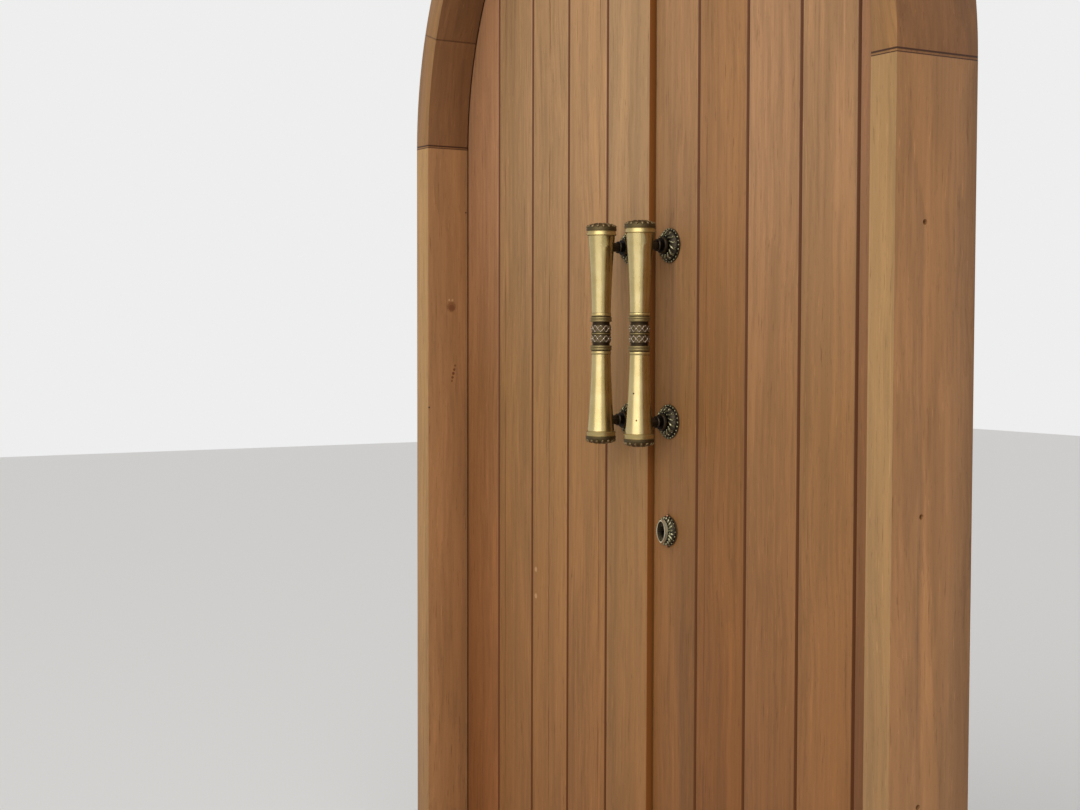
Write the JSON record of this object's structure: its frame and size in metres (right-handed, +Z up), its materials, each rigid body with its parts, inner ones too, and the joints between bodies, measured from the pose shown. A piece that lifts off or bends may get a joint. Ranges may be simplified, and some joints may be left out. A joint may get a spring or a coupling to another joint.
{
  "type": "arched wooden double door",
  "caption": "Round-arched double door of solid V-jointed planks in a segmented arched frame, with turned pull handles and a keyed deadbolt.",
  "frame": {"origin": "centre of the sill's underside, at the middle of the frame's depth", "axes": "+Z up, +X to the right seen from outside, +Y into the building"},
  "size_m": [1.404, 0.171, 2.377],
  "materials": {
    "frame_timber": "oiled hardwood, satin",
    "arch_timber": "oiled hardwood, satin",
    "leaf_timber": "oiled hardwood, satin",
    "ledge_timber": "oiled hardwood, satin",
    "peg_timber": "turned hardwood",
    "satin_brass": "satin antique brass",
    "engraved_brass": "antique brass, darkened in its hollows",
    "dark_bronze": "cast, dark bronze patina with rubbed edges",
    "hinge_brass": "dull antique brass",
    "steel": "plain steel",
    "screw_steel": "zinc and brass plated steel"
  },
  "bodies": {
    "frame": {"left_jamb": "frame_timber", "right_jamb": "frame_timber", "sill": "frame_timber", "arch_segment_1": "arch_timber", "arch_segment_2": "arch_timber", "arch_segment_3": "arch_timber", "arch_segment_4": "arch_timber", "arch_segment_5": "arch_timber", "arch_segment_6": "arch_timber", "arch_segment_7": "arch_timber", "arch_segment_8": "arch_timber", "arch_segment_9": "arch_timber", "frame_dowels": "peg_timber", "frame_hinge_plates": "hinge_brass", "hinge_pins": "hinge_brass", "frame_hinge_screws": "screw_steel"},
    "left_leaf": {"left_plank_1": "leaf_timber", "left_plank_2": "leaf_timber", "left_plank_3": "leaf_timber", "left_plank_4": "leaf_timber", "left_plank_5": "leaf_timber", "left_ledge_bottom": "ledge_timber", "left_ledge_middle": "ledge_timber", "left_ledge_springing": "ledge_timber", "left_ledge_top": "ledge_timber", "left_hinge_plates": "hinge_brass", "left_leaf_screws": "screw_steel", "left_handle_upper_tube": "satin_brass", "left_handle_lower_tube": "satin_brass", "left_handle_collar": "engraved_brass", "left_handle_caps": "engraved_brass", "left_handle_posts": "dark_bronze", "left_handle_bolts": "screw_steel", "strike_plate": "hinge_brass", "flush_bolt_plates": "hinge_brass"},
    "right_leaf": {"right_plank_1": "leaf_timber", "right_plank_2": "leaf_timber", "right_plank_3": "leaf_timber", "right_plank_4": "leaf_timber", "right_plank_5": "leaf_timber", "right_ledge_bottom": "ledge_timber", "right_ledge_middle": "ledge_timber", "right_ledge_springing": "ledge_timber", "right_ledge_top": "ledge_timber", "right_hinge_plates": "hinge_brass", "right_leaf_screws": "screw_steel", "right_handle_upper_tube": "satin_brass", "right_handle_lower_tube": "satin_brass", "right_handle_collar": "engraved_brass", "right_handle_caps": "engraved_brass", "right_handle_posts": "dark_bronze", "right_handle_bolts": "screw_steel", "lock_case": "steel", "lock_cylinder": "steel", "outer_escutcheon": "dark_bronze", "inner_escutcheon": "dark_bronze"},
    "top_flush_bolt": {"top_flush_bolt": "steel"},
    "bottom_flush_bolt": {"bottom_flush_bolt": "steel"},
    "deadbolt": {"deadbolt": "steel"},
    "cylinder_plug": {"cylinder_plug": "steel"}
  },
  "joints": [
    {"name": "left_leaf_hinge", "type": "hinge", "parent": "frame", "child": "left_leaf", "pos_m": [-0.6625, 0.07, 0.895], "axis": [0, 0, 1], "range_deg": [0, 90]},
    {"name": "right_leaf_hinge", "type": "hinge", "parent": "frame", "child": "right_leaf", "pos_m": [0.6625, 0.082, 0.895], "axis": [0, 0, -1], "range_deg": [0, 90]},
    {"name": "plug_turn", "type": "hinge", "parent": "right_leaf", "child": "cylinder_plug", "pos_m": [0.046, 0.0515, 0.9675], "axis": [0, 1, 0], "range_deg": [0, 360]},
    {"name": "deadbolt_slide", "type": "slide", "parent": "right_leaf", "child": "deadbolt", "axis": [-1, 0, 0], "range_m": [0, 0.02]},
    {"name": "top_bolt_slide", "type": "slide", "parent": "left_leaf", "child": "top_flush_bolt", "axis": [0, 0, 1], "range_m": [0, 0.02]},
    {"name": "bottom_bolt_slide", "type": "slide", "parent": "left_leaf", "child": "bottom_flush_bolt", "axis": [0, 0, -1], "range_m": [0, 0.02]}
  ],
  "couplings": [
    {"joint": "plug_turn", "follows": "deadbolt_slide", "rad_per_m": 314}
  ]
}
